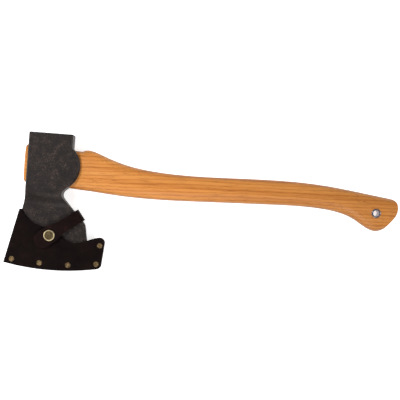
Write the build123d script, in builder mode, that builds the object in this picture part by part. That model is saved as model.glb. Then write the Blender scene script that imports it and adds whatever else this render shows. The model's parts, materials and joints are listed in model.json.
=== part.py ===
from build123d import *
import os
from math import atan, cos, radians, sin

# Carpenter's hatchet, 500 mm long: a forged head hung on a wooden handle with a wooden and a
# steel wedge, and a riveted leather edge cover held on by a strap with a snap fastener.
#
# Drawing frame, in millimetres: X runs along the handle from the head to the butt, Y from the
# cutting edge up to the poll, Z through the cheeks. Zero lies on the head's outer eye face, on
# the eye's axis, on the mid-plane of the blade. The last section moves every piece to the part's
# own frame, whose origin is the bottom centre of the bounding box of the hatchet on its cheek.

FIT = 0.05  # radial clearance of pieces fitted in one another
RUNNING = 0.3  # gap between pieces that move against each other

# Forged head, side view
POLL_TOP = 42.3  # striking face above the eye's axis
POLL_LENGTH = 58.8  # along the handle
LUG_TOP = (POLL_LENGTH, 23.5)
LUG_TIP = (71.0, -2.5)  # the lug that backs the handle's shoulder
LUG_FOOT = (56.0, -29.0)
NOTCH = (45.2, -38.0)  # corner of the hand notch, before rounding
NOTCH_RADIUS = 7.7
BEARD = (82.3, -76.3)  # corner of the beard, before rounding
BEARD_RADIUS = 13.0
HEEL = (90.5, -121.0)
TOE = (-17.2, -120.5)
EDGE_MIDDLE = (37.0, -127.8)
THROAT = (0.0, -47.6)  # where the toe side leaves the eye face
THROAT_RADIUS = 90.0

# Forged head, thickness
CHEEK_WIDTH = 35.0
POLL_WIDTH = 33.0
POLL_DRAFT_START = 22.0  # Y where the cheeks begin to narrow towards the poll
EDGE_FLAT = 0.3
BEVEL_LENGTH = 15.8
BEVEL_WIDTH = 4.2  # blade thickness behind the ground bevel
BLADE_LENGTH = 68.0  # edge to the foot of the cove
BLADE_WIDTH = 13.65  # blade thickness at the foot of the cove
COVE_LENGTH = 27.0  # from blade to cheek
POLL_CHAMFER = 2.2
SIDE_CHAMFER = 2.8  # poll side and lug, towards the handle
HEAD_CHAMFER = 1.6

# Eye and tenon
EYE_HEIGHT = 50.6
EYE_WIDTH = 22.0
EYE_FOOT_HEIGHT = 51.6  # at the lug
EYE_DROP = 4.9  # how far the eye's axis falls from the eye face to the lug
END_ROUND = 0.85  # end radius of an oval as a share of its half width
TENON_PROUD = 4.5
TENON_CHAMFER = 1.5

# Handle: stations along the shaft, each (x, top, bottom, width)
SHOULDER_X = 80.0
SHAFT = [
    (72.5, 21.3, -30.9, 22.2),
    (82.0, 23.2, -31.3, 22.7),
    (94.0, 19.8, -32.3, 23.4),
    (108.0, 14.4, -33.5, 24.1),
    (130.0, 7.6, -35.0, 24.7),
    (170.0, 1.3, -36.1, 24.8),
    (240.0, -0.6, -34.4, 24.6),
    (320.0, 1.7, -31.6, 24.6),
    (380.0, 1.0, -30.8, 24.8),
    (415.0, -1.8, -34.0, 25.2),
    (440.0, -4.9, -41.8, 25.8),
    (460.0, -7.6, -53.4, 26.0),
    (475.0, -9.6, -56.0, 26.0),
    (505.0, -14.2, -57.0, 26.0),
]
BUTT_END = [  # the sawn end, from the underside round to the top
    (473.0, -60.0),
    (481.5, -53.8),
    (491.0, -42.5),
    (497.0, -33.5),
    (499.0, -24.0),
    (497.2, -16.4),
    (491.5, -11.6),
    (481.0, -8.0),
]

# Wedges
WEDGE_LENGTH = 48.0
WEDGE_HEAD = 5.0  # thickness of the wooden wedge at its driven end
WEDGE_TIP = 1.2
STEEL_WEDGE_LENGTH = 24.0
STEEL_WEDGE_WIDTH = 16.0
STEEL_WEDGE_HEAD = 3.0
STEEL_WEDGE_TIP = 0.6

# Lanyard eyelet
EYELET_AT = (470.0, -32.3)
EYELET_BORE = 4.1
EYELET_WALL = 0.9
EYELET_RIM = 1.1  # how far the rim reaches past the tube
EYELET_RIM_THICKNESS = 1.0
EYELET_SUNK = 0.3  # rim below the wood
EYELET_ROUND = 0.6

# Edge cover: one hide folded along the toe, closed over a welt at the edge and the heel
LEATHER = 2.6
WELT = 3.0
FOLD_TOP = (-6.9, -61.9)
FOLD_FOOT = (-24.1, -134.8)
FOLD_ROUND = 2.4
COVER_SEAM_Y = -122.0  # the two sides run parallel below this height
# and above it open on each side by this much for each millimetre, as the blade does
COVER_SLOPE = (BLADE_WIDTH - BEVEL_WIDTH) / 2 / (BLADE_LENGTH - BEVEL_LENGTH)
SEAM_ROUND = 60.0
WELT_INNER_X = 98.5
WELT_EDGE_GAP = 0.8  # from the cutting edge to the welt
COVER_CORNER = 7.0

# Rivets of the edge cover
EDGE_RIVETS = [(-12.9, -129.7), (24.9, -132.5), (63.3, -132.7), (101.0, -128.7), (104.3, -103.4)]
RIVET_CAP_RADIUS = 3.6
RIVET_CAP_HEIGHT = 1.5
RIVET_POST_RADIUS = 1.5
RIVET_DIMPLE = 0.35
RIVET_FLANK = 0.6  # share of a cap's height below its crown
RIVET_CROWN = 0.8  # radius of the crown as a share of the cap's
RIVET_GRIP = 0.55  # share of a cap's height that its post reaches into

# Strap and snap: u runs along the strap from the snap to its bend, v across it
SNAP_AT = (36.0, -94.0)
STRAP_ANGLE = 36.8
STRAP_LEATHER = 2.2
STRAP_HALF_WIDTH = 8.3
TAB_RADIUS = 11.8
TAB_CENTRE = -10.6  # u of the tab's round end
TAB_WIDE_TO = 4.0  # u where the tab starts to narrow
TAB_NARROW_AT = 18.0  # u where it has the strap's width
STRAP_FOLLOWS_TO = 15.0  # u up to which it lies along the cover
BEND_CLEARANCE = 1.2  # from the beard to the inside of the bend
BEND_RUN = 2.2  # from the end of the legs to the inside of the bend
BEND_CORNER = 3.4
STRAP_OVER_STEEL = 0.9  # from blade to strap at the bend
SNAP_GAP = 2.4  # between cover and strap at the snap
STRAP_RIVETS_U = (-11.0, 3.0)
STRAP_BASE_END = -20.0

# Snap fastener
SNAP_CAP_RADIUS = 7.6
SNAP_CAP_HEIGHT = 2.3
SNAP_RIM = 1.5
SNAP_ROUND = 0.45  # edge round as a share of the cap's height
SNAP_FIELD = 0.7  # height of the sunk field as a share of the cap's
SOCKET_RADIUS = 6.0
SOCKET_THICKNESS = 1.45
SOCKET_CAVITY = 3.6
SOCKET_DEPTH = 1.1
STUD_FLANGE_RADIUS = 5.4
STUD_FLANGE = 0.65
STUD_RADIUS = 2.6
STUD_HEIGHT = 1.1
SNAP_POST_RADIUS = 1.5
INNER_HEAD_RADIUS = 4.2
INNER_HEAD = 0.8

REACH = 90.0  # half length of cutting tools that run right through
OVERRUN = 1.0  # how far a tool that ends near a face runs past it
HALF_CHEEK = CHEEK_WIDTH / 2


def oval(centre, height, width):
    """Four tangent arcs, long axis along the sketch's x, added to the current line builder."""
    a, b = height / 2, width / 2
    end = END_ROUND * b
    side = ((a - end) ** 2 + b**2 - end**2) / (2 * (b - end))
    tx = side * (a - end) / (side - end)
    ty = side * (side - b) / (side - end) - (side - b)
    ThreePointArc((centre - tx, ty), (centre, b), (centre + tx, ty))
    ThreePointArc((centre + tx, ty), (centre + a, 0), (centre + tx, -ty))
    ThreePointArc((centre + tx, -ty), (centre, -b), (centre - tx, -ty))
    ThreePointArc((centre - tx, -ty), (centre - a, 0), (centre - tx, ty))


def cover_half_gap(y):
    """Half the room between the cover's two sides, where it holds the blade."""
    return WELT / 2 + max(0.0, y - COVER_SEAM_Y) * COVER_SLOPE


# --- Forged head ---------------------------------------------------------------------------
edge_arc = ThreePointArc(HEEL, EDGE_MIDDLE, TOE)
EDGE_CENTRE = edge_arc.arc_center
EDGE_RADIUS = edge_arc.radius
radial_plane = Plane(origin=EDGE_CENTRE, x_dir=(0, -1, 0), z_dir=(-1, 0, 0))

# The lug's arris is bevelled by a cone about the lug's own centre.
lug_arc = ThreePointArc(LUG_TOP, LUG_TIP, LUG_FOOT)
lug_plane = Plane(origin=lug_arc.arc_center, x_dir=(1, 0, 0), z_dir=(0, -1, 0))
with BuildPart() as lug_bevel:
    with BuildSketch(lug_plane):
        with BuildLine():
            outside = lug_arc.radius + SIDE_CHAMFER
            Polyline(
                (lug_arc.radius - SIDE_CHAMFER, HALF_CHEEK),
                (outside, HALF_CHEEK - 2 * SIDE_CHAMFER),
                (outside, HALF_CHEEK + SIDE_CHAMFER),
                (lug_arc.radius - SIDE_CHAMFER, HALF_CHEEK + SIDE_CHAMFER),
                close=True,
            )
        make_face()
    revolve(axis=Axis(lug_arc.arc_center, (0, 0, 1)))
    with Locations((POLL_LENGTH, 0, 0)):
        Box(
            REACH,
            2 * REACH,
            REACH,
            align=(Align.MIN, Align.CENTER, Align.CENTER),
            mode=Mode.INTERSECT,
        )
    mirror(about=Plane.XY)

with BuildPart() as axe_head:
    with BuildSketch() as side_view:
        with BuildLine():
            poll_left = (POLL_CHAMFER / 2, POLL_TOP)
            Polyline(
                poll_left,
                (POLL_LENGTH - POLL_CHAMFER / 2, POLL_TOP),
                (POLL_LENGTH, POLL_TOP - POLL_CHAMFER / 2),
                LUG_TOP,
            )
            ThreePointArc(LUG_TOP, LUG_TIP, LUG_FOOT)
            FilletPolyline(LUG_FOOT, NOTCH, BEARD, HEEL, radius=[NOTCH_RADIUS, BEARD_RADIUS])
            ThreePointArc(HEEL, EDGE_MIDDLE, TOE)
            poll_corner = (0, POLL_TOP - POLL_CHAMFER / 2)
            FilletPolyline(TOE, THROAT, poll_corner, radius=THROAT_RADIUS)
            Line(poll_corner, poll_left)
        make_face()
    extrude(amount=HALF_CHEEK, both=True)
    cheek_edges = [edge for edge in axe_head.edges() if abs(edge.center().Z) > HALF_CHEEK - FIT]
    eye_side = [edge for edge in cheek_edges if abs(edge.center().X) < FIT]
    poll_side = [edge for edge in cheek_edges if abs(edge.center().X - POLL_LENGTH) < FIT]
    chamfer(eye_side, length=HEAD_CHAMFER)
    chamfer(poll_side, length=SIDE_CHAMFER)
    add(lug_bevel.part, mode=Mode.SUBTRACT)
    # The blade's thickness depends on the distance from the cutting edge, so it is turned
    # about the edge's own centre.
    with BuildSketch(radial_plane) as blade_section:
        with BuildLine():
            bevel_end = (EDGE_RADIUS - BEVEL_LENGTH, BEVEL_WIDTH / 2)
            cove_foot = (EDGE_RADIUS - BLADE_LENGTH, BLADE_WIDTH / 2)
            cheek_edge = (cove_foot[0] - COVE_LENGTH, HALF_CHEEK)
            Polyline((EDGE_RADIUS, 0), (EDGE_RADIUS, EDGE_FLAT / 2), bevel_end, cove_foot)
            blade_dir = (cove_foot[0] - bevel_end[0], cove_foot[1] - bevel_end[1])
            Spline(cove_foot, cheek_edge, tangents=[blade_dir, (-1, 0)])
            inner = EDGE_CENTRE.Y - POLL_TOP - POLL_LENGTH / 4  # past the poll's far corner
            Polyline(cheek_edge, (inner, HALF_CHEEK), (inner, 0), (EDGE_RADIUS, 0))
        make_face()
        mirror(about=Plane.XZ)
    revolve(axis=Axis(EDGE_CENTRE, (0, 0, 1)), mode=Mode.INTERSECT)
    with BuildSketch(Plane.YZ) as poll_draft:
        with BuildLine():
            Polyline(
                (-2 * REACH, HALF_CHEEK),
                (POLL_DRAFT_START, HALF_CHEEK),
                (POLL_TOP - POLL_CHAMFER, POLL_WIDTH / 2),
                (POLL_TOP, POLL_WIDTH / 2 - POLL_CHAMFER),
                (POLL_TOP, 0),
                (-2 * REACH, 0),
                close=True,
            )
        make_face()
        mirror(about=Plane.XZ)
    extrude(amount=2 * REACH, both=True, mode=Mode.INTERSECT)
    for x, centre, height in (
        (-OVERRUN, 0.0, EYE_HEIGHT),
        (LUG_TIP[0] + OVERRUN, -EYE_DROP, EYE_FOOT_HEIGHT),
    ):
        with BuildSketch(Plane.YZ.offset(x)):
            with BuildLine():
                oval(centre, height, EYE_WIDTH)
            make_face()
    loft(mode=Mode.SUBTRACT)

# --- Handle: tenon and shaft ---------------------------------------------------------------
with BuildPart() as tenon:
    # The tenon follows the eye's taper, between the two sections that the eye is cut with.
    shoulder_share = (SHOULDER_X + OVERRUN) / (LUG_TIP[0] + 2 * OVERRUN)
    end_share = (OVERRUN - TENON_PROUD) / (LUG_TIP[0] + 2 * OVERRUN)
    for x, share in ((-TENON_PROUD, end_share), (SHOULDER_X, shoulder_share)):
        height = EYE_HEIGHT + share * (EYE_FOOT_HEIGHT - EYE_HEIGHT)
        with BuildSketch(Plane.YZ.offset(x)):
            with BuildLine():
                oval(-share * EYE_DROP, height - 2 * FIT, EYE_WIDTH - 2 * FIT)
            make_face()
    loft()
    chamfer(tenon.faces().sort_by(Axis.X)[0].edges(), length=TENON_CHAMFER)

with BuildPart() as shaft:
    for x, top, bottom, width in SHAFT:
        with BuildSketch(Plane.YZ.offset(x)):
            with BuildLine():
                oval((top + bottom) / 2, top - bottom, width)
            make_face()
    loft()
    with BuildSketch() as sawn_off:
        with BuildLine():
            Spline(*BUTT_END)
            beyond = SHAFT[-1][0] + 10 * OVERRUN
            Polyline(
                BUTT_END[-1], (beyond, BUTT_END[-1][1]), (beyond, BUTT_END[0][1]), BUTT_END[0]
            )
        make_face()
    extrude(amount=REACH, both=True, mode=Mode.SUBTRACT)
    add(tenon.part)
    # Wedge-shaped kerf for the wooden wedge, cut through the whole height of the tenon.
    with BuildSketch(Plane.XZ) as kerf:
        with BuildLine():
            Polyline(
                (-TENON_PROUD - OVERRUN, -WEDGE_HEAD / 2),
                (WEDGE_LENGTH - TENON_PROUD, -WEDGE_TIP / 2),
                (WEDGE_LENGTH - TENON_PROUD, WEDGE_TIP / 2),
                (-TENON_PROUD - OVERRUN, WEDGE_HEAD / 2),
                close=True,
            )
        make_face()
    extrude(amount=REACH, both=True, mode=Mode.SUBTRACT)

# Cross wedge of steel, driven into the end of the tenon
with BuildPart() as steel_wedge:
    with BuildSketch() as steel_profile:
        with BuildLine():
            tip_x = STEEL_WEDGE_LENGTH - TENON_PROUD
            Polyline(
                (-TENON_PROUD, -STEEL_WEDGE_HEAD / 2),
                (tip_x, -STEEL_WEDGE_TIP / 2),
                (tip_x, STEEL_WEDGE_TIP / 2),
                (-TENON_PROUD, STEEL_WEDGE_HEAD / 2),
                close=True,
            )
        make_face()
    extrude(amount=STEEL_WEDGE_WIDTH / 2, both=True)

with BuildPart() as steel_slot:
    with BuildSketch():
        add(steel_profile.sketch)
        offset(amount=FIT)
    extrude(amount=STEEL_WEDGE_WIDTH / 2 + FIT, both=True)

with BuildPart() as eye_wedge:
    add(tenon.part)
    with BuildSketch(Plane.XZ):
        with BuildLine():
            Polyline(
                (-TENON_PROUD - OVERRUN, FIT - WEDGE_HEAD / 2),
                (WEDGE_LENGTH - TENON_PROUD - FIT, FIT - WEDGE_TIP / 2),
                (WEDGE_LENGTH - TENON_PROUD - FIT, WEDGE_TIP / 2 - FIT),
                (-TENON_PROUD - OVERRUN, WEDGE_HEAD / 2 - FIT),
                close=True,
            )
        make_face()
    extrude(amount=REACH, both=True, mode=Mode.INTERSECT)
    add(steel_slot.part, mode=Mode.SUBTRACT)

# --- Lanyard eyelet ------------------------------------------------------------------------
rim_seat = SHAFT[-2][3] / 2 - EYELET_SUNK
rim_top = rim_seat + EYELET_RIM_THICKNESS
tube_radius = EYELET_BORE + EYELET_WALL
rim_radius = tube_radius + EYELET_RIM
with BuildPart() as lanyard_eyelet:
    with Locations((*EYELET_AT, 0)):
        Cylinder(tube_radius, 2 * rim_top)
    for side in (-1, 1):
        with Locations((*EYELET_AT, side * (rim_seat + rim_top) / 2)):
            Cylinder(rim_radius, EYELET_RIM_THICKNESS)
    rims = lanyard_eyelet.edges().filter_by(GeomType.CIRCLE)
    fillet([edge for edge in rims if abs(abs(edge.center().Z) - rim_top) < FIT], radius=EYELET_ROUND)
    with Locations((*EYELET_AT, 0)):
        Cylinder(EYELET_BORE, 2 * REACH, mode=Mode.SUBTRACT)

with BuildPart() as handle:
    add(shaft.part)
    add(steel_slot.part, mode=Mode.SUBTRACT)
    with Locations((*EYELET_AT, 0)):
        Cylinder(tube_radius + FIT, 2 * REACH, mode=Mode.SUBTRACT)
    for side in (-1, 1):
        with Locations((*EYELET_AT, side * (rim_seat + REACH / 2))):
            Cylinder(rim_radius + FIT, REACH, mode=Mode.SUBTRACT)

# --- Edge cover ----------------------------------------------------------------------------
SLOPE_ANGLE = atan(COVER_SLOPE)
LEATHER_ON_SLOPE = LEATHER / cos(SLOPE_ANGLE)
fold_length = ((FOLD_TOP[0] - FOLD_FOOT[0]) ** 2 + (FOLD_TOP[1] - FOLD_FOOT[1]) ** 2) ** 0.5
fold_dir = Vector(FOLD_FOOT[0] - FOLD_TOP[0], FOLD_FOOT[1] - FOLD_TOP[1]) / fold_length
fold_in = Vector(-fold_dir.Y, fold_dir.X)  # from the fold into the cover


def wedge_prism(extra):
    """Long prism along X: the room inside the cover, grown by extra on both sides."""
    low, high = COVER_SEAM_Y - REACH, COVER_SEAM_Y + REACH
    slope_extra = extra / cos(SLOPE_ANGLE)
    upper = [
        (low, WELT / 2 + extra),
        (COVER_SEAM_Y, WELT / 2 + (extra + slope_extra) / 2),
        (high, cover_half_gap(high) + slope_extra),
    ]
    lower = [(y, -z) for y, z in reversed(upper)]
    with BuildSketch(Plane.YZ.offset(-2 * REACH), mode=Mode.PRIVATE) as profile:
        with BuildLine():
            Polyline(*upper, *lower, close=True)
        make_face()
        fillet(profile.vertices().sort_by(Axis.X)[2:4], radius=SEAM_ROUND)
    return extrude(profile.sketch, amount=5 * REACH, mode=Mode.PRIVATE)


with BuildSketch() as cover_plan:
    with BuildLine():
        Line(FOLD_FOOT, FOLD_TOP)
        Line(FOLD_TOP, (-4.0, -61.9))
        ThreePointArc((-4.0, -61.9), (9.5, -76.9), (27.8, -83.4))
        Line((27.8, -83.4), (41.0, -85.6))
        Spline((41.0, -85.6), (50.9, -94.3), (68.5, -102.6), (86.1, -98.2), (110.8, -92.4))
        Line((110.8, -92.4), (107.3, -134.4))
        ThreePointArc((107.3, -134.4), (43.0, -141.2), FOLD_FOOT)
    make_face()
    heel_corners = cover_plan.vertices().sort_by(Axis.X)[-2:]
    fillet(heel_corners, radius=COVER_CORNER)

with BuildSketch() as inside_fold:
    with BuildLine():
        start = Vector(*FOLD_TOP) + fold_in * LEATHER - fold_dir * REACH
        end = Vector(*FOLD_FOOT) + fold_in * LEATHER + fold_dir * REACH
        Polyline(start, end, (3 * REACH, end.Y), (3 * REACH, start.Y), close=True)
    make_face()

with BuildPart() as cover_outside:
    add(cover_plan.sketch)
    extrude(amount=REACH / 2, both=True)
    add(wedge_prism(LEATHER), mode=Mode.INTERSECT)
    fold_faces = [
        face for face in cover_outside.faces() if face.normal_at().dot(fold_in) < -0.999
    ]
    fold_edges = [
        edge
        for edge in fold_faces[0].edges()
        if abs(edge.tangent_at(0.5).dot(fold_dir)) > 0.9
    ]
    fillet(fold_edges, radius=FOLD_ROUND)

with BuildPart() as cover_room:
    add(inside_fold.sketch)
    extrude(amount=REACH / 2, both=True)
    add(wedge_prism(0), mode=Mode.INTERSECT)

with BuildPart() as sheath_welt:
    with BuildSketch():
        add(cover_plan.sketch)
        add(inside_fold.sketch, mode=Mode.INTERSECT)
        with BuildSketch(mode=Mode.SUBTRACT):
            with Locations(EDGE_CENTRE):
                Circle(EDGE_RADIUS + WELT_EDGE_GAP)
            with Locations((WELT_INNER_X, 0)):
                Rectangle(
                    6 * REACH, 6 * REACH, align=(Align.MAX, Align.CENTER), mode=Mode.INTERSECT
                )
    extrude(amount=REACH / 2, both=True)
    add(wedge_prism(-FIT), mode=Mode.INTERSECT)
    with Locations(EDGE_RIVETS):
        Cylinder(RIVET_POST_RADIUS + FIT, 2 * REACH, mode=Mode.SUBTRACT)

# --- Strap frame ---------------------------------------------------------------------------
# The strap lies on a plane parallel to the cover's outer face: u along it, v across it, w out.
strap_rise = COVER_SLOPE * sin(radians(STRAP_ANGLE))
u_dir = Vector(cos(radians(STRAP_ANGLE)), sin(radians(STRAP_ANGLE)), strap_rise).normalized()
w_dir = Vector(0, -sin(SLOPE_ANGLE), cos(SLOPE_ANGLE))
cover_face_at_snap = cover_half_gap(SNAP_AT[1]) + LEATHER_ON_SLOPE
snap_plane = Plane(origin=(*SNAP_AT, cover_face_at_snap), x_dir=u_dir, z_dir=w_dir)
strap_side = Plane(origin=snap_plane.origin, x_dir=u_dir, z_dir=u_dir.cross(w_dir))
plan_plane = Plane(
    origin=(*SNAP_AT, 0),
    x_dir=(cos(radians(STRAP_ANGLE)), sin(radians(STRAP_ANGLE)), 0),
    z_dir=(0, 0, 1),
)
beard_dir = (Vector(*BEARD) - Vector(*NOTCH)).normalized()
beard_out = Vector(-beard_dir.Y, beard_dir.X)
beard_u = (Vector(*NOTCH) - Vector(*SNAP_AT)).dot(beard_out) / plan_plane.x_dir.dot(beard_out)
beard_skew = abs(plan_plane.y_dir.dot(beard_out) / plan_plane.x_dir.dot(beard_out))
BEND_INNER = beard_u + STRAP_HALF_WIDTH * beard_skew + BEND_CLEARANCE
BEND_START = BEND_INNER - BEND_RUN
blade_w = -LEATHER - RUNNING  # the blade's face in the strap frame
LEG_W = blade_w + STRAP_OVER_STEEL  # inner face of both legs of the strap at the bend
LEG_OVERRUN = 5.0  # the legs' tool runs past both ends of the strap


def leg_prism(w_on_cover, start):
    """One leg of the strap, wider than the strap is."""
    with BuildSketch(strap_side, mode=Mode.PRIVATE) as leg:
        with BuildLine():
            Polyline(
                (start - LEG_OVERRUN, w_on_cover),
                (STRAP_FOLLOWS_TO, w_on_cover),
                (BEND_START, LEG_W),
                (BEND_START + LEG_OVERRUN, LEG_W),
                (BEND_START + LEG_OVERRUN, LEG_W + STRAP_LEATHER),
                (BEND_START, LEG_W + STRAP_LEATHER),
                (STRAP_FOLLOWS_TO, w_on_cover + STRAP_LEATHER),
                (start - LEG_OVERRUN, w_on_cover + STRAP_LEATHER),
                close=True,
            )
        make_face()
    return extrude(leg.sketch, amount=REACH, both=True, mode=Mode.PRIVATE)


# --- Strap ---------------------------------------------------------------------------------
with BuildPart() as strap_flap:
    with BuildSketch(plan_plane):
        with Locations((TAB_CENTRE, 0)):
            Circle(TAB_RADIUS)
        with BuildLine():
            Polyline(
                (TAB_CENTRE, -TAB_RADIUS),
                (TAB_WIDE_TO, -TAB_RADIUS),
                (TAB_NARROW_AT, -STRAP_HALF_WIDTH),
                (BEND_START, -STRAP_HALF_WIDTH),
                (BEND_START, STRAP_HALF_WIDTH),
                (TAB_NARROW_AT, STRAP_HALF_WIDTH),
                (TAB_WIDE_TO, TAB_RADIUS),
                (TAB_CENTRE, TAB_RADIUS),
                close=True,
            )
        make_face()
    extrude(amount=REACH / 2)
    add(leg_prism(SNAP_GAP, TAB_CENTRE - TAB_RADIUS), mode=Mode.INTERSECT)
    with BuildSketch(snap_plane):
        Circle(SNAP_POST_RADIUS + FIT)
    extrude(amount=REACH / 2, both=True, mode=Mode.SUBTRACT)

with BuildPart() as bend_outside:
    with BuildSketch(plan_plane):
        with Locations((BEND_START, 0)):
            Rectangle(
                BEND_INNER + STRAP_LEATHER - BEND_START,
                2 * STRAP_HALF_WIDTH,
                align=(Align.MIN, Align.CENTER),
            )
    extrude(amount=REACH / 2, both=True)
    add(wedge_prism(LEATHER + LEG_W + STRAP_LEATHER), mode=Mode.INTERSECT)
    bend_faces = bend_outside.faces().sort_by(plan_plane.location.x_axis)
    outer_corners = [
        edge
        for edge in bend_faces[-1].edges()
        if abs(edge.tangent_at(0.5).dot(plan_plane.y_dir)) > 0.9
    ]
    fillet(outer_corners, radius=BEND_CORNER)

with BuildPart() as bend_room:
    with BuildSketch(plan_plane):
        with Locations((BEND_INNER, 0)):
            Rectangle(
                REACH / 2, 3 * STRAP_HALF_WIDTH, align=(Align.MAX, Align.CENTER)
            )
    extrude(amount=REACH / 2, both=True)
    add(wedge_prism(LEATHER + LEG_W), mode=Mode.INTERSECT)

with BuildPart() as strap_bend:
    add(bend_outside.part)
    add(bend_room.part, mode=Mode.SUBTRACT)

with BuildPart() as strap_base:
    with BuildSketch(plan_plane):
        Polygon(
            (STRAP_BASE_END, -STRAP_HALF_WIDTH),
            (BEND_START, -STRAP_HALF_WIDTH),
            (BEND_START, STRAP_HALF_WIDTH),
            (STRAP_BASE_END, STRAP_HALF_WIDTH),
            align=None,
        )
    extrude(amount=REACH / 2)
    add(leg_prism(0, STRAP_BASE_END), mode=Mode.INTERSECT)
    for u in STRAP_RIVETS_U:
        with BuildSketch(snap_plane):
            with Locations((u, 0)):
                Circle(RIVET_POST_RADIUS + FIT)
        extrude(amount=REACH / 2, both=True, mode=Mode.SUBTRACT)

# --- Rivets --------------------------------------------------------------------------------
CAP_BORE = RIVET_CAP_HEIGHT * RIVET_GRIP


def turned(plane, steps):
    """Discs stacked on a plane: each (radius, from, to); a negative radius cuts."""
    for radius, low, high in steps:
        with Locations(plane.offset(low)):
            Cylinder(
                abs(radius),
                high - low,
                align=(Align.CENTER, Align.CENTER, Align.MIN),
                mode=Mode.SUBTRACT if radius < 0 else Mode.ADD,
            )


def edge_seat(y):
    """Height of the plane an edge rivet's cap sits on."""
    return cover_half_gap(y) + LEATHER - RIVET_DIMPLE


with BuildPart() as edge_rivet_caps:
    for x, y in EDGE_RIVETS:
        seat = edge_seat(y)
        turned(
            Plane(origin=(x, y, seat)),
            [
                (RIVET_CAP_RADIUS, 0, RIVET_CAP_HEIGHT * RIVET_FLANK),
                (RIVET_CAP_RADIUS * RIVET_CROWN, RIVET_CAP_HEIGHT * RIVET_FLANK, RIVET_CAP_HEIGHT),
                (-RIVET_POST_RADIUS - FIT, 0, CAP_BORE),
            ],
        )

with BuildPart() as edge_rivet_posts:
    for x, y in EDGE_RIVETS:
        seat = edge_seat(y)
        turned(
            Plane(origin=(x, y, 0)),
            [
                (RIVET_POST_RADIUS, -seat - RIVET_CAP_HEIGHT / 2, seat + CAP_BORE - FIT),
                (RIVET_CAP_RADIUS, -seat - RIVET_CAP_HEIGHT * RIVET_FLANK, -seat),
                (
                    RIVET_CAP_RADIUS * RIVET_CROWN,
                    -seat - RIVET_CAP_HEIGHT,
                    -seat - RIVET_CAP_HEIGHT * RIVET_FLANK,
                ),
            ],
        )

strap_rivet_planes = [
    Plane(origin=snap_plane.from_local_coords((u, 0, 0)), x_dir=u_dir, z_dir=w_dir)
    for u in STRAP_RIVETS_U
]
with BuildPart() as strap_rivet_caps:
    for plane in strap_rivet_planes:
        turned(
            plane,
            [
                (RIVET_CAP_RADIUS, STRAP_LEATHER, STRAP_LEATHER + RIVET_CAP_HEIGHT * RIVET_FLANK),
                (
                    RIVET_CAP_RADIUS * RIVET_CROWN,
                    STRAP_LEATHER + RIVET_CAP_HEIGHT * RIVET_FLANK,
                    STRAP_LEATHER + RIVET_CAP_HEIGHT,
                ),
                (-RIVET_POST_RADIUS - FIT, STRAP_LEATHER, STRAP_LEATHER + CAP_BORE),
            ],
        )

with BuildPart() as strap_rivet_posts:
    for plane in strap_rivet_planes:
        turned(
            plane,
            [
                (INNER_HEAD_RADIUS, -LEATHER, INNER_HEAD - LEATHER),
                (RIVET_POST_RADIUS, INNER_HEAD - LEATHER, STRAP_LEATHER + CAP_BORE - FIT),
            ],
        )

# --- Snap fastener -------------------------------------------------------------------------
strap_top = SNAP_GAP + STRAP_LEATHER
socket_foot = SNAP_GAP - SOCKET_THICKNESS
with BuildPart() as snap_post:
    turned(
        snap_plane,
        [
            (INNER_HEAD_RADIUS, -LEATHER, INNER_HEAD - LEATHER),
            (SNAP_POST_RADIUS, INNER_HEAD - LEATHER, STUD_FLANGE + STUD_HEIGHT - 4 * FIT),
        ],
    )

with BuildPart() as snap_stud:
    turned(
        snap_plane,
        [
            (STUD_FLANGE_RADIUS, 0, STUD_FLANGE),
            (STUD_RADIUS, STUD_FLANGE, STUD_FLANGE + STUD_HEIGHT),
            (-SNAP_POST_RADIUS - FIT, 0, STUD_FLANGE + STUD_HEIGHT),
        ],
    )

with BuildPart() as snap_socket:
    turned(
        snap_plane,
        [
            (SOCKET_RADIUS, socket_foot, SNAP_GAP),
            (-SOCKET_CAVITY, socket_foot, socket_foot + SOCKET_DEPTH),
            (-SNAP_POST_RADIUS - FIT, socket_foot, SNAP_GAP),
        ],
    )

with BuildPart() as snap_cap:
    turned(
        snap_plane,
        [
            (SNAP_CAP_RADIUS, strap_top, strap_top + SNAP_CAP_HEIGHT),
            (SNAP_POST_RADIUS, socket_foot + SOCKET_DEPTH, strap_top + SNAP_CAP_HEIGHT / 2),
        ],
    )
    cap_edges = snap_cap.edges().filter_by(GeomType.CIRCLE).sort_by(snap_plane.location.z_axis)
    fillet(cap_edges[-1], radius=SNAP_CAP_HEIGHT * SNAP_ROUND)
    turned(
        snap_plane,
        [
            (
                SNAP_RIM - SNAP_CAP_RADIUS,
                strap_top + SNAP_CAP_HEIGHT * SNAP_FIELD,
                strap_top + SNAP_CAP_HEIGHT,
            )
        ],
    )

# --- Holes, dimples and recesses of the cover ----------------------------------------------
with BuildPart() as strap_holes:
    turned(
        snap_plane,
        [
            (SNAP_POST_RADIUS + FIT, -2 * LEATHER, FIT),
            (INNER_HEAD_RADIUS + FIT, -2 * LEATHER, INNER_HEAD - LEATHER),
        ],
    )

with BuildPart() as back_holes:
    for plane in strap_rivet_planes:
        turned(
            plane,
            [
                (RIVET_POST_RADIUS + FIT, -2 * LEATHER, FIT),
                (INNER_HEAD_RADIUS + FIT, -2 * LEATHER, INNER_HEAD - LEATHER),
            ],
        )
    mirror(about=Plane.XY, mode=Mode.REPLACE)

with BuildPart() as sheath_body:
    add(cover_outside.part)
    add(cover_room.part, mode=Mode.SUBTRACT)
    with Locations(EDGE_RIVETS):
        Cylinder(RIVET_POST_RADIUS + FIT, 2 * REACH, mode=Mode.SUBTRACT)
    for x, y in EDGE_RIVETS:
        for side in (-1, 1):
            with Locations((x, y, side * (edge_seat(y) + REACH / 2))):
                Cylinder(RIVET_CAP_RADIUS + FIT, REACH, mode=Mode.SUBTRACT)
    add(strap_holes.part, mode=Mode.SUBTRACT)
    add(back_holes.part, mode=Mode.SUBTRACT)

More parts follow.
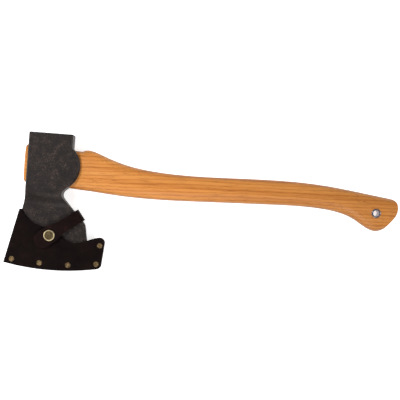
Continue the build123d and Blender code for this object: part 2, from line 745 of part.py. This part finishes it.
# --- The part's own frame ------------------------------------------------------------------
mirrored = {
    "strap_base": strap_base,
    "strap_rivet_caps": strap_rivet_caps,
    "strap_rivet_posts": strap_rivet_posts,
}
pieces = {
    "axe_head": axe_head,
    "handle": handle,
    "eye_wedge": eye_wedge,
    "steel_wedge": steel_wedge,
    "lanyard_eyelet": lanyard_eyelet,
    "sheath_body": sheath_body,
    "sheath_welt": sheath_welt,
    "edge_rivet_caps": edge_rivet_caps,
    "edge_rivet_posts": edge_rivet_posts,
    "strap_bend": strap_bend,
    "strap_flap": strap_flap,
    "snap_post": snap_post,
    "snap_stud": snap_stud,
    "snap_socket": snap_socket,
    "snap_cap": snap_cap,
}
parts = {name: piece.part for name, piece in pieces.items()}
parts.update({name: mirror(piece.part, about=Plane.XY) for name, piece in mirrored.items()})

box = Compound(children=[Compound(part.wrapped) for part in parts.values()]).bounding_box()
shift = Vector(-box.center().X, -box.center().Y, -box.min.Z)
os.makedirs("parts", exist_ok=True)
for name, part in parts.items():
    placed = Pos(*shift) * part
    placed.label = name
    export_step(placed, f"parts/{name}.step")


def in_part_frame(point):
    return [round(value, 3) for value in (Vector(*point) + shift)]


fold_along = [round(value, 5) for value in fold_dir]
hinge_point = snap_plane.from_local_coords((BEND_START, 0, LEG_W + STRAP_LEATHER / 2))
print("size", box.size, "shift", shift)
print("cover slides along", fold_along)
print("strap hinge", in_part_frame((hinge_point.X, hinge_point.Y, -hinge_point.Z)))
print("strap hinge axis", list(plan_plane.y_dir))
print("eyelet", in_part_frame((*EYELET_AT, rim_top)), "bore", EYELET_BORE, "length", 2 * rim_top)
print("cheek", in_part_frame((LUG_TIP[0] / 2, 0, -HALF_CHEEK)))
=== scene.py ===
import json
from math import copysign, cos, pi, radians, sin, sqrt

import bmesh
import bpy
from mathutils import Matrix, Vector


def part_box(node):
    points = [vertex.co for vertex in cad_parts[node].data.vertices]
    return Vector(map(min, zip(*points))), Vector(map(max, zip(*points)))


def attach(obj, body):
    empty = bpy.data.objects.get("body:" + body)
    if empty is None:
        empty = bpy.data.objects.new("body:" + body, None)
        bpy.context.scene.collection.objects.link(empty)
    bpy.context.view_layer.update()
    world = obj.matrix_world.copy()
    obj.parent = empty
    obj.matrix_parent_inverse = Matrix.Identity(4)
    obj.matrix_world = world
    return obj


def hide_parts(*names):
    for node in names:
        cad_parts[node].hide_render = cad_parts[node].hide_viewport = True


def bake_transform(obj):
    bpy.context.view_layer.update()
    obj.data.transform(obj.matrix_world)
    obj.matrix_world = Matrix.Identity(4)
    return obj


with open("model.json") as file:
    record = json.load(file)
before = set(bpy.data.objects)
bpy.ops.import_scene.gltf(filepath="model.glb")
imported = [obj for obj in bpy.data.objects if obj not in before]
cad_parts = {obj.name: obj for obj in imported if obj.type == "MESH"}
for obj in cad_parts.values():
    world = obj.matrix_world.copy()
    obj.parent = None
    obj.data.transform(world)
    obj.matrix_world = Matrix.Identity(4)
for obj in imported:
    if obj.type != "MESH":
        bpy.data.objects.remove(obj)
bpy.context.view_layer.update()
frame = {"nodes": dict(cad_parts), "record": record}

# Forged head: medium-carbon steel, drop forged and left with its oil-blackened forge scale.
# The scale is dark and slightly brown, dimpled and mottled by the hammer. The bevel behind the
# cutting edge is ground bright.


def linear(hex_colour):
    """sRGB hex to linear RGBA."""
    channels = [int(hex_colour[i : i + 2], 16) / 255 for i in (1, 3, 5)]
    return [c / 12.92 if c <= 0.04045 else ((c + 0.055) / 1.055) ** 2.4 for c in channels] + [1.0]


def node(tree, kind, inputs=(), **settings):
    """Adds a shader node; each input is a value, a colour or another node's output socket."""
    made = tree.nodes.new(kind)
    for name, value in settings.items():
        setattr(made, name, value)
    for key, value in dict(inputs).items():
        if isinstance(value, bpy.types.NodeSocket):
            tree.links.new(value, made.inputs[key])
        else:
            made.inputs[key].default_value = value
    return made


def material(name):
    """A new material with its Principled shader and its object coordinates."""
    made = bpy.data.materials.new(name)
    made.use_nodes = True
    tree = made.node_tree
    return made, tree, tree.nodes["Principled BSDF"], node(
        tree, "ShaderNodeTexCoord"
    ).outputs["Object"]


def ramp(tree, factor, stops):
    """A colour ramp through (position, hex colour) stops."""
    made = node(tree, "ShaderNodeValToRGB", {"Fac": factor})
    elements = made.color_ramp.elements
    while len(elements) < len(stops):
        elements.new(0.5)
    for element, (position, colour) in zip(elements, stops):
        element.position = position
        element.color = linear(colour)
    return made.outputs["Color"]


def paint(name, made):
    """Gives a CAD node its material."""
    piece = frame["nodes"][name]
    for slot in piece.material_slots:
        slot.material = made
    return piece


MM = 0.001
SCALE_PATCH = 11.0  # mm, patches of thicker scale
SCALE_FLECK = 1.5  # mm, flecks between them
HAMMER_DIMPLE = 7.0  # mm
EDGE_CENTRE = (-0.19986, 0.13088)  # of the arc that the cutting edge follows
BEVEL_FROM = 0.20923 - 0.0158  # the edge's radius less the ground bevel's length
GRIND_LINE = 0.4  # mm, from scale to ground steel
forged, tree, shader, where = material("forged_carbon_steel")
patches = node(
    tree,
    "ShaderNodeTexNoise",
    {"Vector": where, "Scale": 1 / (SCALE_PATCH * MM), "Detail": 8.0, "Roughness": 0.7},
)
flecks = node(
    tree,
    "ShaderNodeTexNoise",
    {"Vector": where, "Scale": 1 / (SCALE_FLECK * MM), "Detail": 3.0, "Roughness": 0.75},
)
mottle = node(
    tree,
    "ShaderNodeMath",
    {0: patches.outputs["Fac"], 1: flecks.outputs["Fac"]},
    operation="ADD",
)
halved = node(tree, "ShaderNodeMath", {0: mottle.outputs[0], 1: 0.5}, operation="MULTIPLY")
colour = ramp(
    tree,
    halved.outputs[0],
    [(0.36, "#0a0706"), (0.46, "#17110f"), (0.54, "#241b18"), (0.62, "#473b34"), (0.7, "#6c5f57")],
)
from_edge = node(
    tree,
    "ShaderNodeVectorMath",
    {0: where, 1: (EDGE_CENTRE[0], EDGE_CENTRE[1], 0.0)},
    operation="SUBTRACT",
)
in_plan = node(
    tree,
    "ShaderNodeVectorMath",
    {0: from_edge.outputs[0], 1: (1.0, 1.0, 0.0)},
    operation="MULTIPLY",
)
reach = node(tree, "ShaderNodeVectorMath", {0: in_plan.outputs[0]}, operation="LENGTH")
ground = node(
    tree,
    "ShaderNodeMapRange",
    {
        "Value": reach.outputs["Value"],
        "From Min": BEVEL_FROM,
        "From Max": BEVEL_FROM + GRIND_LINE * MM,
    },
)
bright = ramp(tree, flecks.outputs["Fac"], [(0.3, "#85827f"), (0.7, "#a9a6a3")])
steel = node(
    tree,
    "ShaderNodeMix",
    {"Factor": ground.outputs["Result"], 6: colour, 7: bright},
    data_type="RGBA",
)
tree.links.new(steel.outputs[2], shader.inputs["Base Color"])
rough = node(
    tree,
    "ShaderNodeMapRange",
    {
        "Value": patches.outputs["Fac"],
        "From Min": 0.3,
        "From Max": 0.7,
        "To Min": 0.42,
        "To Max": 0.62,
    },
)
tree.links.new(rough.outputs["Result"], shader.inputs["Roughness"])
shader.inputs["Metallic"].default_value = 0.6
dimples = node(
    tree,
    "ShaderNodeTexNoise",
    {"Vector": where, "Scale": 1 / (HAMMER_DIMPLE * MM), "Detail": 3.0},
)
hammered = node(
    tree,
    "ShaderNodeBump",
    {"Height": dimples.outputs["Fac"], "Strength": 0.35, "Distance": 0.8 * MM},
)
pitted = node(
    tree,
    "ShaderNodeBump",
    {
        "Height": flecks.outputs["Fac"],
        "Strength": 0.35,
        "Distance": 0.25 * MM,
        "Normal": hammered.outputs["Normal"],
    },
)
tree.links.new(pitted.outputs["Normal"], shader.inputs["Normal"])
paint("axe_head", forged)

# Handle: hickory, sawn, spokeshaved and sanded, then varnished clear. The grain runs along it in
# long bands of early and late wood with fine dark pores between them. Painted shade darkens the
# narrow top and bottom faces, and the wood from near the head towards the butt.
RING_SPACING = 4.6  # mm
RING_REPEAT = 2 * pi / 20  # of the ring pattern when its scale is 1
PORE_WIDTH = 0.45  # mm
HEARTWOOD_BAND = 9.0  # mm, broad streaks of darker wood
LONG_GRAIN = (0.02, 1.0, 1.0)  # pores and streaks are fifty times longer than wide
RING_GRAIN = (0.12, 1.0, 1.0)
GRAIN_SHIFT = (0.0, 0.035, -0.012)  # m, how the rings lie to the handle
GRAIN_LEAN = (0.0, radians(1.3), radians(-1.6))
SHADE_FROM, SHADE_TO = -0.02, 0.22  # along the handle, where painted shade darkens the wood towards the butt
hickory, tree, shader, where = material("varnished_hickory")
leaning = node(
    tree,
    "ShaderNodeMapping",
    {"Vector": where, "Location": GRAIN_SHIFT, "Rotation": GRAIN_LEAN},
)
stretched = node(
    tree,
    "ShaderNodeMapping",
    {"Vector": leaning.outputs["Vector"], "Scale": RING_GRAIN},
)
rings = node(
    tree,
    "ShaderNodeTexWave",
    {
        "Vector": stretched.outputs["Vector"],
        "Scale": RING_REPEAT / (RING_SPACING * MM),
        "Distortion": 7.0,
        "Detail": 2.5,
        "Detail Scale": 0.5,
        "Detail Roughness": 0.55,
    },
    wave_type="RINGS",
    rings_direction="X",
    wave_profile="SAW",
)
along = node(tree, "ShaderNodeMapping", {"Vector": where, "Scale": LONG_GRAIN})
pores = node(
    tree,
    "ShaderNodeTexNoise",
    {
        "Vector": along.outputs["Vector"],
        "Scale": 1 / (PORE_WIDTH * MM),
        "Detail": 2.0,
        "Roughness": 0.6,
    },
)
broad = node(
    tree,
    "ShaderNodeTexNoise",
    {"Vector": along.outputs["Vector"], "Scale": 1 / (HEARTWOOD_BAND * MM), "Detail": 2.0},
)
ringed = ramp(
    tree,
    rings.outputs["Fac"],
    [(0.0, "#cd8540"), (0.6, "#d08a45"), (0.88, "#b26a2c"), (1.0, "#7d4419")],
)
streaked = ramp(tree, broad.outputs["Fac"], [(0.3, "#a96527"), (0.5, "#cb8440"), (0.7, "#d6934e")])
wood = node(tree, "ShaderNodeMix", {"Factor": 0.5, 6: ringed, 7: streaked}, data_type="RGBA")
pored = ramp(tree, pores.outputs["Fac"], [(0.3, "#8a6a50"), (0.45, "#ffffff"), (1.0, "#ffffff")])
stained = node(
    tree,
    "ShaderNodeMix",
    {"Factor": 0.7, 6: wood.outputs[2], 7: pored},
    data_type="RGBA",
    blend_type="MULTIPLY",
)
# Painted shade: faces that turn edgewise are darkened, down to 0.42 on the narrow top and bottom
# faces.
facing = node(
    tree,
    "ShaderNodeSeparateXYZ",
    {0: tree.nodes["Texture Coordinate"].outputs["Normal"]},
)
flat_on = node(tree, "ShaderNodeMath", {0: facing.outputs["Z"]}, operation="ABSOLUTE")
painted_rim_shade = node(
    tree,
    "ShaderNodeMapRange",
    {"Value": flat_on.outputs[0], "From Min": 0.05, "From Max": 0.8, "To Min": 0.42, "To Max": 1.0},
)
# Painted shade: the wood darkens from near the head towards the butt, to 0.78 of its colour.
length = node(tree, "ShaderNodeSeparateXYZ", {0: where})
painted_falloff_shade = node(
    tree,
    "ShaderNodeMapRange",
    {
        "Value": length.outputs["X"],
        "From Min": SHADE_FROM,
        "From Max": SHADE_TO,
        "To Min": 1.03,
        "To Max": 0.78,
    },
)
# Both painted shades together scale the wood's colour.
painted_light_mix = node(
    tree,
    "ShaderNodeMath",
    {0: painted_rim_shade.outputs["Result"], 1: painted_falloff_shade.outputs["Result"]},
    operation="MULTIPLY",
)
shaded_wood = node(
    tree,
    "ShaderNodeVectorMath",
    {0: stained.outputs[2], "Scale": painted_light_mix.outputs[0]},
    operation="SCALE",
)
tree.links.new(shaded_wood.outputs[0], shader.inputs["Base Color"])
shader.inputs["Roughness"].default_value = 0.42
shader.inputs["Coat Weight"].default_value = 0.06
shader.inputs["Coat Roughness"].default_value = 0.3
shader.inputs["Specular IOR Level"].default_value = 0.15
open_grain = node(
    tree,
    "ShaderNodeBump",
    {"Height": pores.outputs["Fac"], "Strength": 0.15, "Distance": 0.1 * MM},
)
tree.links.new(open_grain.outputs["Normal"], shader.inputs["Normal"])
paint("handle", hickory)

# Wedges: a slip of beech driven into the tenon's kerf and a steel cross wedge over it, both
# trimmed level with the tenon. Raw beech is paler than the varnished handle around it.
BEECH_FLECK = 0.7  # mm
beech, tree, shader, where = material("raw_beech")
grain = node(tree, "ShaderNodeMapping", {"Vector": where, "Scale": (0.05, 1.0, 1.0)})
flecked = node(
    tree,
    "ShaderNodeTexNoise",
    {"Vector": grain.outputs["Vector"], "Scale": 1 / (BEECH_FLECK * MM), "Detail": 3.0},
)
colour = ramp(tree, flecked.outputs["Fac"], [(0.35, "#a97d52"), (0.6, "#caa274")])
tree.links.new(colour, shader.inputs["Base Color"])
shader.inputs["Roughness"].default_value = 0.6
paint("eye_wedge", beech)

MILL_GRAIN = 0.4  # mm
mild, tree, shader, where = material("sheared_mild_steel")
mill = node(
    tree,
    "ShaderNodeTexNoise",
    {"Vector": where, "Scale": 1 / (MILL_GRAIN * MM), "Detail": 3.0},
)
colour = ramp(tree, mill.outputs["Fac"], [(0.3, "#5f5c5a"), (0.7, "#8f8c89")])
tree.links.new(colour, shader.inputs["Base Color"])
shader.inputs["Metallic"].default_value = 1.0
shader.inputs["Roughness"].default_value = 0.45
paint("steel_wedge", mild)

# Lanyard eyelet: a steel tube flared at both ends, tumbled and nickel plated, pressed into the
# hole in the knob. It shows as a grey ring round a through hole.
TUMBLED = 0.6  # mm
nickel, tree, shader, where = material("nickel_plated_steel")
tumbled = node(
    tree,
    "ShaderNodeTexNoise",
    {"Vector": where, "Scale": 1 / (TUMBLED * MM), "Detail": 3.0},
)
colour = ramp(tree, tumbled.outputs["Fac"], [(0.3, "#5f5b66"), (0.7, "#96929c")])
tree.links.new(colour, shader.inputs["Base Color"])
shader.inputs["Metallic"].default_value = 1.0
shader.inputs["Roughness"].default_value = 0.28
paint("lanyard_eyelet", nickel)

# Edge cover: one piece of 2.6 mm vegetable-tanned leather, die cut, folded along the toe and
# oiled almost black, with a welt of the same leather between its two sides. Its cut edges are
# rounded, and the welt shows between them a little browner than the dyed grain.
RUBBED_PLACE = 14.0  # mm
FIBRE = 2.5  # mm
SHARPER_THAN = 40  # degrees, edges that are rounded
SAME_POINT = 0.005  # mm, corners of the CAD mesh that are merged
SAME_PLANE = 1.0  # degrees, facets that are joined before the edges are rounded


def hide(name, deep, face, worn, pebble):
    """Oiled leather: a fine pebbled grain of that size in mm, with paler rubbed places."""
    made, tree, shader, where = material(name)
    rub = node(
        tree,
        "ShaderNodeTexNoise",
        {"Vector": where, "Scale": 1 / (RUBBED_PLACE * MM), "Detail": 5.0, "Roughness": 0.6},
    )
    colour = ramp(tree, rub.outputs["Fac"], [(0.3, deep), (0.55, face), (0.8, worn)])
    tree.links.new(colour, shader.inputs["Base Color"])
    grain = node(
        tree,
        "ShaderNodeTexVoronoi",
        {"Vector": where, "Scale": 1 / (pebble * MM)},
        feature="SMOOTH_F1",
    )
    fibre = node(
        tree,
        "ShaderNodeTexNoise",
        {"Vector": where, "Scale": 1 / (FIBRE * MM), "Detail": 4.0},
    )
    pebbled = node(
        tree,
        "ShaderNodeBump",
        {"Height": grain.outputs["Distance"], "Strength": 0.3, "Distance": 0.2 * MM},
    )
    creased = node(
        tree,
        "ShaderNodeBump",
        {
            "Height": fibre.outputs["Fac"],
            "Strength": 0.3,
            "Distance": 0.4 * MM,
            "Normal": pebbled.outputs["Normal"],
        },
    )
    tree.links.new(creased.outputs["Normal"], shader.inputs["Normal"])
    shader.inputs["Roughness"].default_value = 0.62
    shader.inputs["Specular IOR Level"].default_value = 0.04
    return made


def leather_copy(source, name, made, edge, body):
    """A soft copy of a CAD node with rounded edges, in that material."""
    piece = frame["nodes"][source].copy()
    piece.data = frame["nodes"][source].data.copy()
    bpy.context.collection.objects.link(piece)
    piece.parent = None
    piece.name = name
    bm = bmesh.new()
    bm.from_mesh(piece.data)
    bmesh.ops.remove_doubles(bm, verts=bm.verts, dist=SAME_POINT * MM)
    bmesh.ops.dissolve_limit(bm, angle_limit=radians(SAME_PLANE), verts=bm.verts, edges=bm.edges)
    bmesh.ops.triangulate(bm, faces=[face for face in bm.faces if len(face.verts) > 4])
    bm.to_mesh(piece.data)
    bm.free()
    piece.data.materials.clear()
    piece.data.materials.append(made)
    rounded = piece.modifiers.new("burnished edge", "BEVEL")
    rounded.width = edge * MM
    rounded.segments = 3
    rounded.limit_method = "ANGLE"
    rounded.angle_limit = radians(SHARPER_THAN)
    for polygon in piece.data.polygons:
        polygon.use_smooth = True
    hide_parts(source)
    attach(piece, body)
    return piece


cover_hide = hide("oiled_veg_tan_leather", "#0c0606", "#110908", "#1b100e", pebble=0.8)
cover = leather_copy("sheath_body", "cover_leather", cover_hide, edge=0.5, body="sheath")
welt_hide = hide("burnished_leather_edge", "#1c120e", "#2f1f18", "#4a3428", pebble=0.5)
welt = leather_copy("sheath_welt", "cover_welt", welt_hide, edge=0.2, body="sheath")

# Strap: 2.2 mm leather from the same hide but a little redder, riveted to the back of the cover,
# bent round the blade and snapped to the front, where it widens to a round tab. It is one strip,
# 17 to 24 mm wide, so both legs and the bend are one continuous ribbon.
head_low, head_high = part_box("axe_head")
MID_PLANE = (head_low[2] + head_high[2]) / 2
STRAP_ANGLE = radians(36.8)
STRAP_THICK = 2.2 * MM
HALF_WIDTH = 8.3 * MM
TAB_RADIUS = 11.8 * MM
TAB_CENTRE = -10.6 * MM
SLOPE = 0.0905  # the cover's outer face rises by this much for each metre towards the poll
SNAP_GAP = 2.4 * MM  # between cover and strap at the snap
GAP_AT_BEND = 0.2 * MM
DROP_TO_BLADE = 2.0 * MM  # the legs come down past the cover's face
FOLLOWS_TO = 15 * MM  # up to here the legs lie along the cover
TAPER_FROM, TAPER_LENGTH = 4 * MM, 14 * MM  # from the tab's width to the strap's
TIP_HALF_WIDTH = 1.5 * MM
BASE_END = 20 * MM  # the fixed leg's length past the snap
WALL_SQUARE, LEG_SQUARE = 0.45, 0.75  # powers of sine and cosine: 1 is round, 0 is square
TAB_STEPS, FLAP_STEPS, BEND_STEPS, BASE_STEPS = 12, 28, 24, 24
STRAP_EDGE = 0.45 * MM  # round of the cut edges
STRAP_CORNER = radians(50)  # edges sharper than this are rounded
hinge = next(joint for joint in frame["record"]["behaviour"]["joints"] if joint["type"] == "hinge")
BEND_START = 46.0 * MM
hinge_at = Vector(hinge["pos_m"])
along_u = Vector((cos(STRAP_ANGLE), sin(STRAP_ANGLE), 0))
across_v = Vector((-sin(STRAP_ANGLE), cos(STRAP_ANGLE), 0))
snap_at = hinge_at - along_u * BEND_START
snap_at.z = 0
HEIGHT_AT_SNAP = 6.65 * MM  # the cover's outer face above the blade's mid-plane


def strap_height(u, v, on_cover):
    """Mid-thickness of one leg of the strap above the mid-plane; it comes down to the blade."""
    share = min(1.0, max(0.0, (u - FOLLOWS_TO) / (BEND_START - FOLLOWS_TO)))
    drop = (on_cover + DROP_TO_BLADE) * share
    rise = SLOPE * (u * sin(STRAP_ANGLE) + v * cos(STRAP_ANGLE))
    return HEIGHT_AT_SNAP + rise + on_cover - drop + STRAP_THICK / 2


def strap_half_width(u):
    """Half the flap's width at u: a round tab, a taper, then the strap."""
    if u < TAB_CENTRE:
        return sqrt(max(TAB_RADIUS**2 - (TAB_CENTRE - u) ** 2, TIP_HALF_WIDTH**2))
    taper = min(1.0, max(0.0, (u - TAPER_FROM) / TAPER_LENGTH))
    return TAB_RADIUS + (HALF_WIDTH - TAB_RADIUS) * taper


stations = []  # (u, height as a function of v, half width)
TAB_END = TAB_CENTRE - TAB_RADIUS + 0.1 * MM
flap_at = [
    TAB_CENTRE - (TAB_CENTRE - TAB_END) * cos(pi / 2 * step / TAB_STEPS)
    for step in range(TAB_STEPS + 1)
]
flap_at += [
    TAB_CENTRE + (BEND_START - TAB_CENTRE) * step / FLAP_STEPS for step in range(1, FLAP_STEPS + 1)
]
for u in flap_at:
    stations.append((u, lambda v, u=u: strap_height(u, v, SNAP_GAP), strap_half_width(u)))
BEND_DEPTH = 3.3 * MM
for step in range(1, BEND_STEPS):
    turn = pi * step / BEND_STEPS
    u = BEND_START + BEND_DEPTH * abs(sin(turn)) ** WALL_SQUARE
    share = copysign(abs(cos(turn)) ** LEG_SQUARE, cos(turn))
    stations.append(
        (u, lambda v, share=share: share * strap_height(BEND_START, v, GAP_AT_BEND), HALF_WIDTH)
    )
for step in range(BASE_STEPS + 1):
    u = BEND_START - (BEND_START + BASE_END) * step / BASE_STEPS
    stations.append((u, lambda v, u=u: -strap_height(u, v, 0.0), HALF_WIDTH))

strap_mesh = bpy.data.meshes.new("strap")
bm = bmesh.new()
ACROSS = 10
rows = []
for u, height, half in stations:
    row = []
    for column in range(ACROSS + 1):
        v = half * (2 * column / ACROSS - 1)
        place = snap_at + along_u * u + across_v * v
        row.append(bm.verts.new((place.x, place.y, MID_PLANE + height(v))))
    rows.append(row)
for row, after in zip(rows, rows[1:]):
    for column in range(ACROSS):
        bm.faces.new((row[column], row[column + 1], after[column + 1], after[column]))
bmesh.ops.recalc_face_normals(bm, faces=bm.faces)
bm.to_mesh(strap_mesh)
bm.free()
strap = bpy.data.objects.new("strap_leather", strap_mesh)
bpy.context.collection.objects.link(strap)
strap_hide = hide("oiled_strap_leather", "#0e0707", "#170c0b", "#271513", pebble=0.8)
strap_mesh.materials.append(strap_hide)
wall = strap.modifiers.new("thickness", "SOLIDIFY")
wall.thickness = STRAP_THICK
wall.offset = 0.0
wall.use_even_offset = True
edges = strap.modifiers.new("burnished edge", "BEVEL")
edges.width = STRAP_EDGE
edges.segments = 3
edges.limit_method = "ANGLE"
edges.angle_limit = STRAP_CORNER
for polygon in strap_mesh.polygons:
    polygon.use_smooth = True
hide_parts("strap_base", "strap_bend", "strap_flap")
# The leather turns from just below the hinge, over 3.5 mm of height and 0.4 mm outwards.
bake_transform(strap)

# Rivets and snap: spun and stamped brass with an antique finish, cloudy with tarnish. The snap's
# cap is darker in its sunk field, and its rim carries a painted highlight. The rivets sink a little
# into the leather.
TARNISH = 2.0  # mm
brass, tree, shader, where = material("antique_brass")
tarnish = node(
    tree,
    "ShaderNodeTexNoise",
    {"Vector": where, "Scale": 1 / (TARNISH * MM), "Detail": 4.0, "Roughness": 0.6},
)
colour = ramp(tree, tarnish.outputs["Fac"], [(0.3, "#443726"), (0.5, "#66543b"), (0.7, "#958060")])
tree.links.new(colour, shader.inputs["Base Color"])
shader.inputs["Metallic"].default_value = 1.0
rough = node(
    tree,
    "ShaderNodeMapRange",
    {"Value": tarnish.outputs["Fac"], "To Min": 0.38, "To Max": 0.6},
)
tree.links.new(rough.outputs["Result"], shader.inputs["Roughness"])
CAP_FIELD = 5.7  # mm, the snap cap's hollow, where the dark finish is left
CAP_HIGHLIGHT_RIM = 6.2  # mm, from here out the rim carries a painted highlight
cap_brass = brass.copy()
cap_brass.name = "antique_brass_cap"
tree = cap_brass.node_tree
centre = (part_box("snap_cap")[0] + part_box("snap_cap")[1]) / 2
place = node(
    tree,
    "ShaderNodeVectorMath",
    {0: tree.nodes["Texture Coordinate"].outputs["Object"], 1: centre},
    operation="SUBTRACT",
)
flat = node(
    tree,
    "ShaderNodeVectorMath",
    {0: place.outputs[0], 1: (1.0, 1.0, 0.0)},
    operation="MULTIPLY",
)
radius = node(tree, "ShaderNodeVectorMath", {0: flat.outputs[0]}, operation="LENGTH")
# Painted highlight: the cap's rim is lit brighter than its sunk field, whose dark finish is real.
rim_highlight_mask = node(
    tree,
    "ShaderNodeMapRange",
    {"Value": radius.outputs["Value"], "From Min": CAP_FIELD * MM, "From Max": CAP_HIGHLIGHT_RIM * MM},
)
field = ramp(
    tree,
    tree.nodes["Noise Texture"].outputs["Fac"],
    [(0.3, "#3d3322"), (0.5, "#544832"), (0.7, "#6e6147")],
)
painted_rim_highlight = ramp(tree, tree.nodes["Noise Texture"].outputs["Fac"], [(0.3, "#8f8060"), (0.7, "#cdbe98")])
painted_light_mix = node(
    tree,
    "ShaderNodeMix",
    {"Factor": rim_highlight_mask.outputs["Result"], 6: field, 7: painted_rim_highlight},
    data_type="RGBA",
)
tree.links.new(painted_light_mix.outputs[2], tree.nodes["Principled BSDF"].inputs["Base Color"])
for name in (
    "edge_rivet_caps",
    "edge_rivet_posts",
    "strap_rivet_caps",
    "strap_rivet_posts",
    "snap_post",
    "snap_socket",
    "snap_stud",
):
    paint(name, brass)
paint("snap_cap", cap_brass)

# Floor, studio light and camera: white paper that glows a little, so that shadows stay faint, five
# soft boxes round the hatchet, and a camera straight above its cheek, turned a few degrees.
floor_mesh = bpy.data.meshes.new("floor")
bm = bmesh.new()
bmesh.ops.create_grid(bm, x_segments=1, y_segments=1, size=4.0)
bm.to_mesh(floor_mesh)
bm.free()
floor = bpy.data.objects.new("floor", floor_mesh)
bpy.context.collection.objects.link(floor)
paper, tree, shader, where = material("white_paper")
shader.inputs["Base Color"].default_value = linear("#f4f4f4")
shader.inputs["Roughness"].default_value = 0.9
shader.inputs["Emission Color"].default_value = linear("#ffffff")
shader.inputs["Emission Strength"].default_value = 0.7
floor_mesh.materials.append(paper)


def softbox(name, at, aim, size, watts):
    """A square area light aimed at a point."""
    light = bpy.data.lights.new(name, "AREA")
    light.size = size
    light.energy = watts
    lamp = bpy.data.objects.new(name, light)
    lamp.location = at
    lamp.rotation_euler = (Vector(aim) - Vector(at)).to_track_quat("-Z", "Y").to_euler()
    bpy.context.collection.objects.link(lamp)


softbox("key", (-1.35, 0.35, 2.0), (-0.1, 0, 0), 0.7, 38)
softbox("fill", (1.35, -0.1, 1.9), (-0.2, 0, 0), 0.7, 12)
softbox("front", (-0.2, -1.5, 1.5), (-0.2, 0, 0), 0.7, 20)
softbox("left strip", (-1.7, 0.0, 0.4), (-0.2, 0, 0), 0.5, 8)
softbox("right strip", (1.5, 0.35, 0.45), (-0.2, 0.05, 0), 0.5, 9)
world = bpy.data.worlds.new("studio")
world.use_nodes = True
world.node_tree.nodes["Background"].inputs["Color"].default_value = linear("#ffffff")
world.node_tree.nodes["Background"].inputs["Strength"].default_value = 0.16
bpy.context.scene.world = world
bpy.context.scene.view_settings.view_transform = "Standard"

CAMERA_DISTANCE = 1.743
SEEN_WIDTH = 0.5386  # width of the view at the hatchet's mid-plane
ROLL = radians(4.3)
CAMERA_OVER = (-0.0036, 0.01735)  # the point it looks straight down on
SENSOR = 36.0
camera_data = bpy.data.cameras.new("camera")
camera_data.sensor_width = SENSOR
camera_data.lens = SENSOR * CAMERA_DISTANCE / SEEN_WIDTH
camera = bpy.data.objects.new("camera", camera_data)
camera.location = (CAMERA_OVER[0], CAMERA_OVER[1], MID_PLANE + CAMERA_DISTANCE)
camera.rotation_euler = (0, 0, ROLL)
bpy.context.collection.objects.link(camera)
bpy.context.scene.camera = camera
